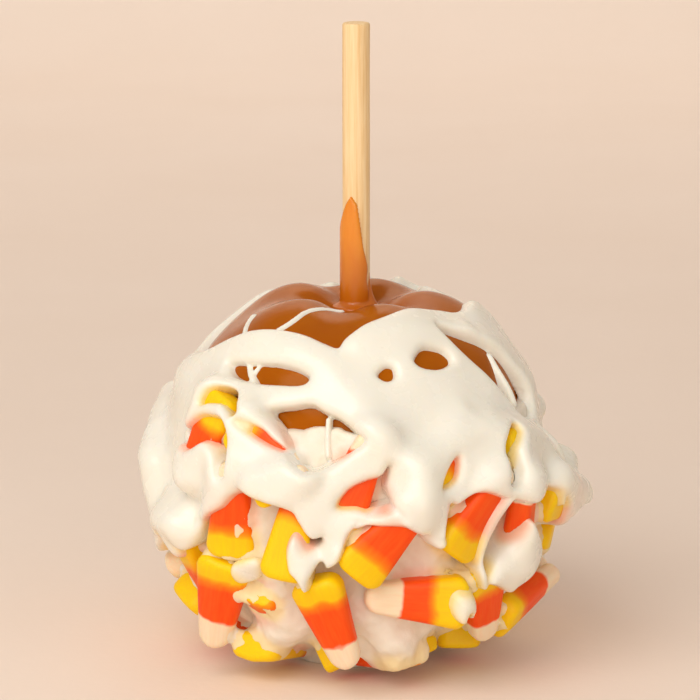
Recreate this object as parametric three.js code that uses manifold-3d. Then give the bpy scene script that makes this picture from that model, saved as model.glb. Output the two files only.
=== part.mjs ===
// A caramel apple on a wooden stick. Its lower part is dipped in white chocolate and set with candy
// corn, and a thick white chocolate drizzle lies over the shoulders and the upper sweets.
// Millimetres, +Z up. The origin is on the stick's axis, in the flat foot that the apple stands on,
// and the side with the drizzle's open windows looks along -Y.
import * as THREE from "three";
import Module from "manifold-3d";
import { mergeVertices } from "three/addons/utils/BufferGeometryUtils.js";

const wasm = await Module();
wasm.setup();

const radians = THREE.MathUtils.degToRad;
const { clamp, lerp, smoothstep } = THREE.MathUtils;

// ---- Driving dimensions ----
const GAP = 0.3; // left between neighbours
const CENTRE_Z = 45; // height of the apple's centre, from which bearings and latitudes are taken
const STICK = { radius: 3, bottom: 32, top: 137.5, chamfer: 0.4, sides: 24 };
const APPLE = { sides: 26, lobes: 5, lobeHeight: 1, lobeTurn: 20 };
// The lobes rise between these heights and between these distances from the stick's axis.
const SHOULDER = { lowZ: 64, highZ: 77, inner: 4.8, outer: 12 };
const BASE = { thickness: 2.2, footRadius: 19, bottomZ: 5, edgeZ: 57, sides: 22 };
const BASE_EDGE_WAVES = [
  { count: 5, height: 1.2, turn: 0 },
  { count: 11, height: 0.7, turn: 1 },
];
const CORN = { length: 21.6, width: 12.2, thickness: 7.5, sunk: 1.6, sides: 8, corner: 0.92 };
const SOCKET = { baseShare: 1.06, tipWidthShare: 0.57, tipThicknessShare: 0.69 };
const DRIZZLE = { thickness: 1.6, rim: 0.5, blendLow: 0.9, blendHigh: 0.3, clear: 0.5, bridging: 3 };
const DRIZZLE_GRID = { rows: 6, front: 92, frontStep: 5, backStep: 12.5 };

// Half-section of the caramel-covered apple, from the basin underneath to the hollow at the stick.
const APPLE_SECTION = [
  [0, 6.8],
  [10, 5.8],
  [16, 6.8],
  [22.5, 10.2],
  [28.5, 16.6],
  [33, 25.7],
  [35.6, 35.5],
  [36.5, 46],
  [35.7, 55],
  [33, 64.5],
  [28.6, 71],
  [22, 76.4],
  [16, 78.6],
  [11, 78.2],
  [7, 76.6],
  [4.6, 77],
  [0, 77.2],
];

// The sweets on the front and the flanks: bearing from -Y (towards +X), latitude, the way that the
// tip points (clockwise from up, seen from outside), tilt of the tip outwards, roll, and lift, mm.
// A smaller one ends with its size.
const WALL_CORN = [
  [-49, 18, -163, 0, 0, 0, 0.95],
  [-27, 10, 118, 0, 0, 0, 0.85],
  [-2, -2, 24, -6, 0, -0.5],
  [60, 3, 104, 0, 0, 0],
  [-38, -8, 6, 0, 20, 0.6],
  [6, -9, 41, 0, 0, 2.2],
  [38, -14, 34, 0, 0, 1.4],
  [50, -18, -12, 0, 30, 1.4],
  [-47, -36, -158, 26, -16, 2.8, 1.06],
  [-9, -29.5, 161, 16, 0, 4.4],
  [29.5, -29, -97, -22, 32, 1.4],
  [42, -24, 164, 8, 0, 1, 0.92],
  [64.5, -36, 68, 0, 0, 4],
  [85, -15, 20, 0, 0, 1.2],
  [-13, -12, 10, -20, 10, 2, 0.9],
];
// The ones that lie half hidden between those.
const TUCKED_CORN = [
  [-24, 5, 62, 0, 0, 1, 0.6],
  [-29, -27, 160, 0, 0, -1.5, 0.6],
  [63, -13, 106, 0, 0, 0.4],
  [-66, -30, -178, 5, 0, 0],
  [-78, -43, -150, -5, 0, -1.2],
  [-42, -47, -170, 0, 0, -1.5, 0.75],
  [31, 7, 58, 0, 0, -1.1],
  [106, -14, 92, 0, 0, -0.3],
  [100, -36, -82, 8, 0, 0],
  [-84, -14, -12, 0, 0, -0.3],
  [-100, 2, 98, 0, 0, -0.3],
  [-99, -31, 80, 0, 0, -0.3],
];
// The sweets underneath, with their tips tucked in between the apple and its foot: bearing, how far
// the tip is turned away from the stick's axis, the distance from that axis to the base, roll, size.
const FLOOR_CORN = [
  [-37, 6, 31, 0, 1],
  [-5, -12, 26, 60, 0.65],
  [16, 22, 29.5, 0, 0.85],
  [33, 0, 27, 0, 0.6],
  [52, -48, 28, 0, 0.85],
];
const FLOOR = { tipClear: 1.6, slope: 14, reach: 30, heading: 10 };
// Rows of sweets across the back, between the bearings given.
const BACK = { from: 122, to: 248, lean: 14, scatter: 2, seed: 7, perRow: 4, floorCount: 5 };
const BACK_ROWS = [
  { lat: -3, start: 0.3 },
  { lat: -19, start: 0.7 },
  { lat: -36, start: 0.2 },
];

// Sweets that meet are moved apart in steps, the firm ones less than the loose ones.
const SETTLE = { rounds: 300, least: 0.05, rate: 0.2, enough: 0.004, still: 1e-6, firm: 1, loose: 5, top: 64 };

// Edges of the drizzle: bearing and latitude. Between the last point and the first, round the back,
// they wave about the latitude given.
const LOWER_EDGE = [
  [-92, -16],
  [-75, -22],
  [-62, -20],
  [-54, -20],
  [-43, -8],
  [-35, -2],
  [-27, 1],
  [-21, -1],
  [-15, -24],
  [-11, -16],
  [-8, -20],
  [-4, -8],
  [8, -5],
  [14, -8],
  [21, -12],
  [25, -1],
  [34, 0],
  [39, -4],
  [43, -25],
  [49, -28],
  [58, -24],
  [66, -20],
  [72, -11],
  [80, -8],
  [92, -14],
];
const UPPER_EDGE = [
  [-92, 36],
  [-71, 36],
  [-60, 43],
  [-47, 48],
  [-24, 49],
  [-8, 46],
  [3, 54],
  [16, 57],
  [31, 60],
  [46, 60],
  [57, 57],
  [73, 52],
  [92, 58],
];
const BACK_WAVE = { lower: -6, lowerSwing: 9, upper: 56, upperSwing: 3, drips: 9, folds: 5, hold: 2 };
// Windows in the drizzle: bearing, latitude, half-width, half-height, and lean to the left.
const PLUG = { depth: 40, reach: 50, sides: 8 };
const WINDOWS = [
  [-31, 34, 8, 2.2, 9],
  [-11, 16, 8.6, 5.6, -27],
  [50, 34, 13, 2.2, -40],
  [11, 36, 1.8, 1.5, 0],
  [30, 39, 4, 2.1, -5],
  [-47, 14, 7, 3, 10],
  [-26, 15, 6, 2.1, -21],
  [3, 2, 4.9, 4.3, 0],
  [49, 8, 2, 5.6, 0],
  [-43, 24, 3.2, 2.6, 0],
  [69, 6, 1.8, 4.6, 0],
  [45, -12, 1.8, 7, -20],
  [55, -9, 3.8, 4.4, 0],
];

// ---- Solids ----
function solidOf(geometry) {
  const bare = geometry.clone();
  bare.deleteAttribute("normal");
  bare.deleteAttribute("uv");
  const merged = mergeVertices(bare, 1e-4);
  return new wasm.Manifold(
    new wasm.Mesh({
      numProp: 3,
      vertProperties: merged.attributes.position.array,
      triVerts: new Uint32Array(merged.index.array),
    }),
  );
}

function geometryOf(solid) {
  const { numProp, numVert, vertProperties, triVerts } = solid.getMesh();
  const position = new Float32Array(numVert * 3);
  for (let i = 0; i < numVert; i++) {
    const start = i * numProp;
    position.set(vertProperties.subarray(start, start + 3), i * 3);
  }
  const geometry = new THREE.BufferGeometry();
  geometry.setAttribute("position", new THREE.BufferAttribute(position, 3));
  geometry.setIndex(new THREE.BufferAttribute(triVerts, 1));
  geometry.computeVertexNormals();
  return geometry;
}

// Moves every vertex of a geometry with the function given.
function reshape(geometry, move) {
  const position = geometry.attributes.position;
  const point = new THREE.Vector3();
  for (let i = 0; i < position.count; i++) {
    move(point.fromBufferAttribute(position, i));
    position.setXYZ(i, point.x, point.y, point.z);
  }
  return geometry;
}

// A half-section of [radius, z] turned about +Z.
function turned(section, sides) {
  const points = section.map(([r, z]) => new THREE.Vector2(r, z));
  return new THREE.LatheGeometry(points, sides).rotateX(Math.PI / 2);
}

const bearing = (x, y) => Math.atan2(x, -y);

// A half-section moved away from the apple's centre, which leaves its ends on the axis.
function grown(section, grow) {
  return section.map(([r, z]) => {
    const point = new THREE.Vector2(r, z - CENTRE_Z);
    point.setLength(point.length() + grow);
    return [r === 0 ? 0 : point.x, point.y + CENTRE_Z];
  });
}

// ---- The caramel apple ----
// Five lobes round the hollow at the top, highest on the shoulder and gone at the stick and the sides.
function lobeAt(radius, z, angle) {
  const { lowZ, highZ, inner, outer } = SHOULDER;
  const shoulder = smoothstep(z, lowZ, highZ) * smoothstep(radius, inner, outer);
  return shoulder * APPLE.lobeHeight * Math.cos(APPLE.lobes * (angle - radians(APPLE.lobeTurn)));
}

function appleGeometry(grow = 0) {
  return reshape(turned(grown(APPLE_SECTION, grow), APPLE.sides), (p) => {
    p.z += lobeAt(Math.hypot(p.x, p.y), p.z, bearing(p.x, p.y));
  });
}

// ---- The stick ----
function stickGeometry(grow = 0) {
  const { radius, bottom, top, chamfer, sides } = STICK;
  const r = radius + grow;
  const foot = bottom - grow;
  return turned([[0, foot], [r, foot], [r, top - chamfer], [r - chamfer, top], [0, top]], sides);
}

// ---- Candy corn ----
// Along local +Y from the wide base to the tip, with its broad faces across local Z. Each station is
// [share of the length, share of the width, share of the thickness].
const CORN_STATIONS = [
  [0, 0.72, 0.66],
  [0.14, 1, 1],
  [0.8, 0.66, 0.76],
  [1, 0.34, 0.36],
];

function cornGeometry(grow = 0) {
  const bands = CORN_STATIONS.length - 1;
  const halfSide = Math.PI / CORN.sides;
  const geometry = new THREE.CylinderGeometry(1, 1, 1, CORN.sides, bands).rotateY(halfSide);
  const corner = CORN.corner / Math.cos(halfSide);
  return reshape(geometry, (p) => {
    const [along, wide, thick] = CORN_STATIONS[Math.round((p.y + 0.5) * bands)];
    p.set(
      clamp(p.x * corner, -1, 1) * ((wide * CORN.width) / 2 + grow),
      (along - 0.5) * (CORN.length + 2 * grow),
      clamp(p.z * corner, -1, 1) * ((thick * CORN.thickness) / 2 + grow),
    );
  });
}

const skin = new THREE.SplineCurve(APPLE_SECTION.map(([r, z]) => new THREE.Vector2(r, z - CENTRE_Z)));
const skinPoints = skin.getPoints(400);

// Distance from the apple's centre to its skin at a latitude.
function skinAt(latitude) {
  const off = (p) => Math.abs(Math.atan2(p.y, p.x) - latitude);
  return skinPoints.reduce((best, p) => (off(p) < off(best) ? p : best)).length();
}

// Radius of the skin at a height between the widest part and the shoulder.
function skinRadiusAt(z) {
  const off = (p) => Math.abs(p.y + CENTRE_Z - z);
  const sides = skinPoints.filter((p) => p.x > BASE.footRadius);
  return sides.reduce((best, p) => (off(p) < off(best) ? p : best)).x;
}

// The direction away from the apple's centre at a bearing and latitude.
function outwards(lon, lat) {
  const level = Math.cos(lat);
  return new THREE.Vector3(Math.sin(lon) * level, -Math.cos(lon) * level, Math.sin(lat));
}

// A frame on the apple's side at a distance from its centre, with X east, Y up and Z outwards.
function sideFrame(lon, lat, reach) {
  const away = outwards(lon, lat);
  const east = new THREE.Vector3(Math.cos(lon), Math.sin(lon), 0);
  const matrix = new THREE.Matrix4().makeBasis(east, new THREE.Vector3().crossVectors(away, east), away);
  return matrix.setPosition(away.multiplyScalar(reach).add(new THREE.Vector3(0, 0, CENTRE_Z)));
}

// A sweet stuck to the side of the apple.
function wallMatrix([lon, lat, turn, tilt, roll, lift, size = 1]) {
  const reach = skinAt(radians(lat)) + BASE.thickness - CORN.sunk + CORN.thickness / 2 + lift;
  const matrix = sideFrame(radians(lon), radians(lat), reach);
  matrix.multiply(new THREE.Matrix4().makeRotationZ(-radians(turn)));
  matrix.multiply(new THREE.Matrix4().makeRotationX(radians(tilt)));
  matrix.multiply(new THREE.Matrix4().makeRotationY(radians(roll)));
  return matrix.scale(new THREE.Vector3(size, size, size));
}

// A sweet underneath, which slopes down towards its tip.
function floorMatrix([lon, heading, reach, roll, size]) {
  const up = new THREE.Vector3(0, 0, 1);
  const [, , tipThick] = CORN_STATIONS.at(-1);
  const tipHeight = FLOOR.tipClear + (tipThick * CORN.thickness) / 2;
  const baseHeight = tipHeight + CORN.length * Math.sin(radians(FLOOR.slope));
  const matrix = new THREE.Matrix4().makeRotationZ(radians(lon));
  matrix.setPosition(new THREE.Vector3(0, -reach, baseHeight).applyAxisAngle(up, radians(lon)));
  matrix.multiply(new THREE.Matrix4().makeRotationZ(radians(heading)));
  matrix.multiply(new THREE.Matrix4().makeRotationX(-radians(FLOOR.slope)));
  matrix.multiply(new THREE.Matrix4().makeRotationY(radians(roll)));
  matrix.scale(new THREE.Vector3(size, size, size));
  return matrix.multiply(new THREE.Matrix4().makeTranslation(0, CORN.length / 2, 0));
}

// A plain tapered block round a sweet, which cuts its socket in the white chocolate.
function socketGeometry() {
  const { length, width, thickness } = CORN;
  return reshape(new THREE.BoxGeometry(width, length + 2 * GAP, thickness), (p) => {
    const tapered = (value, share) => value * (p.y > 0 ? share : SOCKET.baseShare) + GAP * Math.sign(value);
    p.x = tapered(p.x, SOCKET.tipWidthShare);
    p.z = tapered(p.z, SOCKET.tipThicknessShare);
  });
}

// The usual minimal generator of numbers from 0 to 1, which gives the same ones every time.
const RANDOM = { factor: 16807, modulus: 2147483647 };
function randomFrom(seed) {
  let state = seed;
  return () => {
    state = (state * RANDOM.factor) % RANDOM.modulus;
    return state / RANDOM.modulus;
  };
}

// The sweets round the back, in rows with every tip turned its own way.
function backCorn() {
  const random = randomFrom(BACK.seed);
  const scatter = () => (random() - 0.5) * 2 * BACK.scatter;
  return BACK_ROWS.flatMap(({ lat, start }) =>
    Array.from({ length: BACK.perRow }, (_, i) => {
      const lon = lerp(BACK.from, BACK.to, (i + start) / BACK.perRow);
      return [lon + scatter(), lat + scatter(), random() * 360, (random() - 0.5) * BACK.lean, 0, 0];
    }),
  );
}

// ---- Placing the sweets ----
// Neighbours that meet are moved apart a little at a time, off the apple and off the floor.
function settle(places, apple) {
  const plain = solidOf(cornGeometry());
  const roomy = solidOf(cornGeometry(GAP));
  const centre = new THREE.Vector3(0, 0, CENTRE_Z);
  const sweets = places.map(({ matrix, ease }) => ({ matrix, ease, shift: new THREE.Vector3() }));
  const place = (sweet) => {
    sweet.centre = new THREE.Vector3().setFromMatrixPosition(sweet.matrix);
    sweet.plain = plain.transform(sweet.matrix.elements);
    sweet.roomy = roomy.transform(sweet.matrix.elements);
  };
  const span = Math.hypot(CORN.length, CORN.width) + GAP;
  const stepFor = (volume) => SETTLE.least + SETTLE.rate * Math.cbrt(volume);
  sweets.forEach(place);
  for (let round = 0; round < SETTLE.rounds; round++) {
    sweets.forEach((a, i) => {
      for (const b of sweets.slice(i + 1)) {
        if (a.centre.distanceTo(b.centre) > span) continue;
        const volume = a.roomy.intersect(b.plain).volume();
        if (volume < SETTLE.enough) continue;
        const apart = b.centre.clone().sub(a.centre).setLength(stepFor(volume));
        const share = a.ease / (a.ease + b.ease);
        a.shift.addScaledVector(apart, -share);
        b.shift.addScaledVector(apart, 1 - share);
      }
      const buried = a.roomy.intersect(apple).volume();
      if (buried > SETTLE.enough) {
        a.shift.add(a.centre.clone().sub(centre).setLength(stepFor(buried)));
      }
      const { min, max } = a.plain.boundingBox();
      a.shift.z += Math.max(0, FLOOR.tipClear - min[2]) + Math.min(0, SETTLE.top - max[2]);
    });
    const moved = sweets.filter((sweet) => sweet.shift.length() > SETTLE.still);
    if (moved.length === 0) break;
    for (const sweet of moved) {
      sweet.matrix.setPosition(sweet.centre.add(sweet.shift));
      sweet.shift.set(0, 0, 0);
      place(sweet);
    }
  }
  return sweets;
}

// ---- The white chocolate that the lower part is dipped in ----
function largest(solid) {
  return solid.decompose().reduce((best, piece) => (piece.volume() > best.volume() ? piece : best));
}

function baseGeometry() {
  const { thickness, footRadius, bottomZ, edgeZ, sides } = BASE;
  const outer = grown(APPLE_SECTION, thickness);
  const side = outer.filter(([r, z]) => r > footRadius && z > bottomZ && z < edgeZ);
  const [[rimRadius]] = grown([[skinRadiusAt(edgeZ), edgeZ]], thickness);
  const section = [[0, 0], [footRadius, 0], ...side, [rimRadius, edgeZ], [0, edgeZ]];
  return reshape(turned(section, sides), (p) => {
    if (p.z < edgeZ - GAP) return;
    const angle = bearing(p.x, p.y);
    for (const { count, height, turn } of BASE_EDGE_WAVES) p.z += height * Math.sin(count * angle + turn);
  });
}

// ---- The drizzle ----
const wrap = (lon) => THREE.MathUtils.euclideanModulo(lon + 180, 360) - 180;

// Latitude of an edge of the drizzle at a bearing.
function edgeAt(edge, lon, level, swing, waves) {
  const [first, firstLat] = edge[0];
  const [last, lastLat] = edge.at(-1);
  if (lon < first || lon > last) {
    const share = (lon > last ? lon - last : lon + 360 - last) / (360 - last + first);
    const wave = level + swing * Math.sin(2 * Math.PI * waves * share);
    const hold = Math.min(1, BACK_WAVE.hold * Math.sin(Math.PI * share));
    return lerp(lerp(lastLat, firstLat, share), wave, hold);
  }
  const k = Math.max(1, edge.findIndex(([x]) => x >= lon));
  const [x0, y0] = edge[k - 1];
  const [x1, y1] = edge[k];
  return lerp(y0, y1, (lon - x0) / (x1 - x0));
}

function columnBearings() {
  const { front, frontStep, backStep } = DRIZZLE_GRID;
  const columns = [];
  for (let lon = -front; lon < front; lon += frontStep) columns.push(lon);
  for (let lon = front; lon < 360 - front; lon += backStep) columns.push(lon);
  return columns;
}

// How far out from the apple's centre its surface and the sweets reach, on a grid of bearings and
// latitudes, and the greatest reach near a point of that grid.
const FIELD = { step: 3, lowest: -36, rows: 36, far: 90 };

function reachField(meshes) {
  const { step, lowest, rows, far } = FIELD;
  const columns = 360 / step;
  const ray = new THREE.Raycaster();
  const centre = new THREE.Vector3(0, 0, CENTRE_Z);
  const reach = [];
  for (let row = 0; row < rows; row++) {
    for (let column = 0; column < columns; column++) {
      const away = outwards(radians(column * step), radians(lowest + row * step));
      ray.set(centre.clone().addScaledVector(away, far), away.negate());
      const [hit] = ray.intersectObjects(meshes, false);
      reach.push(hit ? far - hit.distance : 0);
    }
  }
  const rowOf = (lat) => clamp(Math.round((lat - lowest) / step), 0, rows - 1);
  const columnOf = (lon) => Math.round(lon / step);
  return (lon, lat, halfLon, halfLat) => {
    let most = 0;
    for (let row = rowOf(lat - halfLat); row <= rowOf(lat + halfLat); row++) {
      for (let column = columnOf(lon - halfLon); column <= columnOf(lon + halfLon); column++) {
        most = Math.max(most, reach[row * columns + THREE.MathUtils.euclideanModulo(column, columns)]);
      }
    }
    return most;
  };
}

// Radius of the drizzle's inner surface at each column and row. Hollows between the sweets are
// bridged: a point below the mean of its neighbours is raised to it.
function drapeRadii(grid, reachNear) {
  const { blendLow, blendHigh, clear, bridging } = DRIZZLE;
  const { rows } = DRIZZLE_GRID;
  let radii = grid.map(({ lon, next, low, high }) =>
    Array.from({ length: rows + 1 }, (_, row) => {
      const blend = lerp(blendLow, blendHigh, row / rows);
      const lat = lerp(low, high, row / rows);
      return reachNear(lon, lat, (next - lon) * blend, ((high - low) / rows) * blend) + clear;
    }),
  );
  for (let pass = 0; pass < bridging; pass++) {
    radii = radii.map((column, i) => {
      const before = radii[(i + radii.length - 1) % radii.length];
      const after = radii[(i + 1) % radii.length];
      return column.map((radius, row) => {
        const along = (column[Math.max(0, row - 1)] + column[Math.min(rows, row + 1)]) / 2;
        return Math.max(radius, (before[row] + after[row] + 2 * along) / 4);
      });
    });
  }
  return radii;
}

// A closed skin between an outer and an inner surface, each a grid of columns round the apple and
// rows from the lower edge to the upper one. It is a ring whose section climbs the outer surface and
// comes down the inner one.
function drizzleGeometry(reachNear) {
  const { thickness, rim } = DRIZZLE;
  const { rows } = DRIZZLE_GRID;
  const { lower, lowerSwing, drips, upper, upperSwing, folds } = BACK_WAVE;
  const bearings = columnBearings();
  const columns = bearings.map((lon, i) => ({
    lon,
    next: bearings[i + 1] ?? bearings[0] + 360,
    low: edgeAt(LOWER_EDGE, wrap(lon), lower, lowerSwing, drips),
    high: edgeAt(UPPER_EDGE, wrap(lon), upper, upperSwing, folds),
  }));
  const radii = drapeRadii(columns, reachNear);
  const around = 2 * (rows + 1);
  const ring = new THREE.TorusGeometry(2, 1, around, columns.length);
  let vertex = 0;
  return reshape(ring, (p) => {
    const place = Math.floor(vertex / (columns.length + 1)) % around;
    const i = (vertex % (columns.length + 1)) % columns.length;
    vertex += 1;
    const outside = place <= rows;
    const row = outside ? place : around - 1 - place;
    const depth = outside ? thickness * (row === 0 || row === rows ? rim : 1) : 0;
    const { lon, low, high } = columns[i];
    p.copy(outwards(radians(lon), radians(lerp(low, high, row / rows))));
    p.multiplyScalar(radii[i][row] + depth).setZ(p.z + CENTRE_Z);
  });
}

// An oval plug through the drizzle, at a bearing and latitude.
function windowGeometry([lon, lat, halfWidth, halfHeight, lean]) {
  const matrix = sideFrame(radians(lon), radians(lat), PLUG.reach);
  matrix.multiply(new THREE.Matrix4().makeRotationZ(radians(lean)));
  return new THREE.CylinderGeometry(1, 1, PLUG.depth, PLUG.sides)
    .rotateX(Math.PI / 2)
    .scale(halfWidth, halfHeight, 1)
    .applyMatrix4(matrix);
}

// ---- The assembly ----
const caramel = new THREE.MeshStandardMaterial({ color: 0x8f4d14, roughness: 0.2, metalness: 0 });
const wood = new THREE.MeshStandardMaterial({ color: 0xe8bf82, roughness: 0.7, metalness: 0 });
const candy = new THREE.MeshStandardMaterial({ color: 0xf5742a, roughness: 0.5, metalness: 0 });
const whiteChocolate = new THREE.MeshStandardMaterial({ color: 0xf6ecd2, roughness: 0.35, metalness: 0 });

const group = new THREE.Group();
function addNode(name, geometry, material) {
  const mesh = new THREE.Mesh(geometry, material);
  mesh.name = name;
  group.add(mesh);
  return mesh;
}

const appleSolid = solidOf(appleGeometry()).subtract(solidOf(stickGeometry(GAP)));
const roomyApple = solidOf(appleGeometry(GAP));
const places = [
  ...WALL_CORN.map((row) => ({ matrix: wallMatrix(row), ease: SETTLE.firm })),
  ...TUCKED_CORN.map((row) => ({ matrix: wallMatrix(row), ease: SETTLE.loose })),
  ...FLOOR_CORN.map((row) => ({ matrix: floorMatrix(row), ease: SETTLE.loose })),
  ...backCorn().map((row) => ({ matrix: wallMatrix(row), ease: SETTLE.loose })),
  ...Array.from({ length: BACK.floorCount }, (_, i) => {
    const lon = lerp(BACK.from, BACK.to, i / (BACK.floorCount - 1));
    const heading = i % 2 ? FLOOR.heading : -FLOOR.heading;
    return { matrix: floorMatrix([lon, heading, FLOOR.reach, 0, 1]), ease: SETTLE.loose };
  }),
];
const sweets = settle(places, roomyApple);

addNode("stick", stickGeometry(), wood);
const appleMesh = addNode("caramel_apple", geometryOf(appleSolid), caramel);
const sockets = sweets.map(({ matrix }) => solidOf(socketGeometry()).transform(matrix.elements));
const base = solidOf(baseGeometry()).subtract(roomyApple).subtract(wasm.Manifold.union(sockets));
const baseMesh = addNode("white_base", geometryOf(largest(base)), whiteChocolate);
const cornMeshes = sweets.map(({ matrix }, i) => {
  const mesh = addNode(`candy_corn_${String(i + 1).padStart(2, "0")}`, cornGeometry(), candy);
  mesh.applyMatrix4(matrix);
  mesh.updateMatrixWorld();
  return mesh;
});

const drape = solidOf(drizzleGeometry(reachField([appleMesh, baseMesh, ...cornMeshes])));
const obstacles = [
  roomyApple,
  solidOf(stickGeometry(GAP)),
  ...sweets.map((sweet) => sweet.roomy),
  ...WINDOWS.map((row) => solidOf(windowGeometry(row))),
];
addNode("drizzle", geometryOf(largest(drape.subtract(wasm.Manifold.union(obstacles)))), whiteChocolate);

export default group;
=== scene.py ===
import itertools
import math

import bpy
import numpy as np
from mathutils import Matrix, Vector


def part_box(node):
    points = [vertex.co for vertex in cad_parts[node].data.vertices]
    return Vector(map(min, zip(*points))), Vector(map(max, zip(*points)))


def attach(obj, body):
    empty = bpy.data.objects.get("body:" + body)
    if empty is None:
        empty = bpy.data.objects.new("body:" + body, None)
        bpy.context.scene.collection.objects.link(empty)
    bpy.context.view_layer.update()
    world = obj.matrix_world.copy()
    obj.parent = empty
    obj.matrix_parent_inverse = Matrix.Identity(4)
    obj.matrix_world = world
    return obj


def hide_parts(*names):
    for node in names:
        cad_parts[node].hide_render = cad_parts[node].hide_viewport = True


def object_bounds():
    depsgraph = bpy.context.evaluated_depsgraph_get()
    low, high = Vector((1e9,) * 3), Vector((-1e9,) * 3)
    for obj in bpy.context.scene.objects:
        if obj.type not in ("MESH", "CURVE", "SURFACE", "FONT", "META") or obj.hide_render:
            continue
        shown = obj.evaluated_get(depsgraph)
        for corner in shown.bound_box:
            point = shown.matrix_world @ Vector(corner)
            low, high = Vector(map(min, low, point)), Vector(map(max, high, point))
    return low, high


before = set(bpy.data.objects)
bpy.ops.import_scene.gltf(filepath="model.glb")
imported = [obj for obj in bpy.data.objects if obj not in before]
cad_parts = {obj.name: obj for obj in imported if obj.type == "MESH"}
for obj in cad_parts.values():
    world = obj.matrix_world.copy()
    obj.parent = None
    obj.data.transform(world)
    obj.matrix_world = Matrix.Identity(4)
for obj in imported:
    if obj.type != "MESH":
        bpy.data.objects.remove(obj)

import openvdb
from mathutils import Vector

CAD_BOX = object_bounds()

# Lengths below are in millimetres and angles in degrees. A place on the apple is a bearing, from -Y
# towards +X, and a latitude, both seen from the apple's centre.
MM = 0.001
CENTRE = np.array([0.0, 0.0, 45.0])
VOXEL = 0.42

# ---- The caramel apple ----
# Radius and height along its outline, from the bottom to the hollow round the stick.
APPLE_SECTION = [
    (0, 6.8), (10, 5.8), (16, 6.8), (22.5, 10.2), (28.5, 16.6), (33, 25.7), (35.6, 35.5), (36.5, 46),
    (35.7, 55), (33, 64.5), (28.6, 71), (22, 76.4), (16, 78.6), (11, 78.2), (7, 76.6), (4.6, 76.2),
    (0, 76.1),
]
APPLE_MESH = {"rings": 150, "sides": 260, "lowest": -87, "highest": 87.5}
# Lobes of the shoulder, which fade in over these heights and these distances from the axis.
LOBES = {"count": 5, "height": 1.0, "turn": 20, "heights": (64, 77), "distances": (4.8, 12)}
# Creases that run out from the stick over the shoulder: bearing, depth, half-width, length.
CREASES = [
    (-96, 1.1, 1.7, 15), (58, 1.0, 1.5, 19), (148, 0.9, 2.0, 17), (-22, 0.6, 1.6, 13), (-160, 0.7, 1.8, 16),
]
# Where a crease is at its full depth: it starts over these distances, and fades past a share of its length.
CREASE = {"start": (2, 5), "full": 0.3}
# The coat swells a little here and there.
SWELL = {"height": 0.22, "size": 13}

# ---- The dull white chocolate that the lower part is dipped in ----
# "rim" is how far below its top edge it is fully thick, "climb" how gently it meets the sweets, "sink" how
# far below their surface it lies, and "ease" the height over which the drizzle eases down to the caramel.
BASE = {
    "thickness": 2.2, "rim": 1.6, "edge_z": 57.4, "climb": 1.3, "sink": 0.45, "fill": 11, "ease": 11,
    "overlap": 0.5, "foot_radius": 14, "foot_height": 9, "foot_blend": 4.0,
}
# Its top edge: heights and sizes of a slow wander and of a ragged line.
BASE_EDGE = {"wander": 0.7, "wander_size": 6, "ragged": 0.7, "ragged_size": 1.9}
# Bulges of the coat, between two pairs of latitudes over which they fade.
BULGE = {"height": 2.1, "size": 8, "range": (-0.25, 0.6), "top": (8, -12), "bottom": (-60, -45)}
# Roughness within a reach of its surface. It stands out by no more than "rise".
ROUGH = {"lump": 0.42, "lump_size": 3.1, "grain": 0.2, "grain_size": 1.3, "rise": 0.28, "reach": 1.5}
# Lumps of it between the sweets: bearing, latitude, distance from the centre, radius.
LUMPS = [
    (-25, -27, 39, 4.5), (-26, -36, 39, 4.5), (-20, -32, 38, 4.5), (-28, -42, 42, 4.5), (-30, -46, 44, 4),
    (-38, -50, 44, 3.5), (4, -42, 41, 4), (11, -45, 43, 4), (18, -46, 43, 4), (6, -52, 44, 3.5),
    (27, -44, 42, 3.5), (14, -52, 45, 3.5), (23, -15, 37, 3.5), (-60, -38, 40, 4), (58, -44, 40, 4),
    (76, -27, 40, 4.5), (-72, -12, 40, 4.5), (-21, -43, 42, 4), (15, -47, 46.5, 3.5),
]

# ---- Candy corn ----
# Shares of a sweet's half width or half thickness. "ridge" is the most that its face falls to the sides.
SWEET = {
    "corner": 0.5, "edge": 0.42, "narrowing": 0.46, "thinning": 0.31, "straight": 0.12, "ridge": 0.34,
    "ridge_round": 0.02, "thinnest": 0.3,
}
SWEET_MESH = {"rings": 44, "sides": 48, "ends": 0.998, "widest": 1.6, "halvings": 22}
# Dents that make the sweets unlike: their share of a sweet's size, and how far apart they lie.
DENTS = {"share": 0.02, "size": 6}
# Where yellow ends and where orange ends, as shares of the length, and how much that varies.
BANDS = {"yellow": 0.33, "orange": 0.745}
BAND_SPREAD = {"yellow": 0.04, "orange": 0.03}
BAND_EDGE = {"wander": 0.035, "wander_size": 3.2, "ragged": 0.012, "ragged_size": 0.9}
# Sweets whose bands end elsewhere.
OWN_BANDS = {
    "03": (0.14, 0.8), "04": (0.55, 0.85), "05": (0.27, 0.8), "06": (0.25, 0.84), "07": (0.25, 0.76),
    "09": (0.2, 0.68), "10": (0.22, 0.71), "11": (0.33, 0.66), "13": (0.22, 0.68), "15": (0.7, 0.95),
    "17": (0.12, 0.8), "19": (0.58, 0.92), "20": (0.33, 0.96), "21": (0.02, 0.98), "28": (0.8, 0.97),
    "30": (0.02, 0.96),
}
# How far the dull coat lies over these sweets. It is patchy, and leaves their tips bare.
COATED = {"24": 0.3, "26": 0.5, "30": 0.15}
PATCHY = {"height": 0.8, "size": 4, "bare": 1.6, "bare_from": (0.3, 0.8)}

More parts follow.
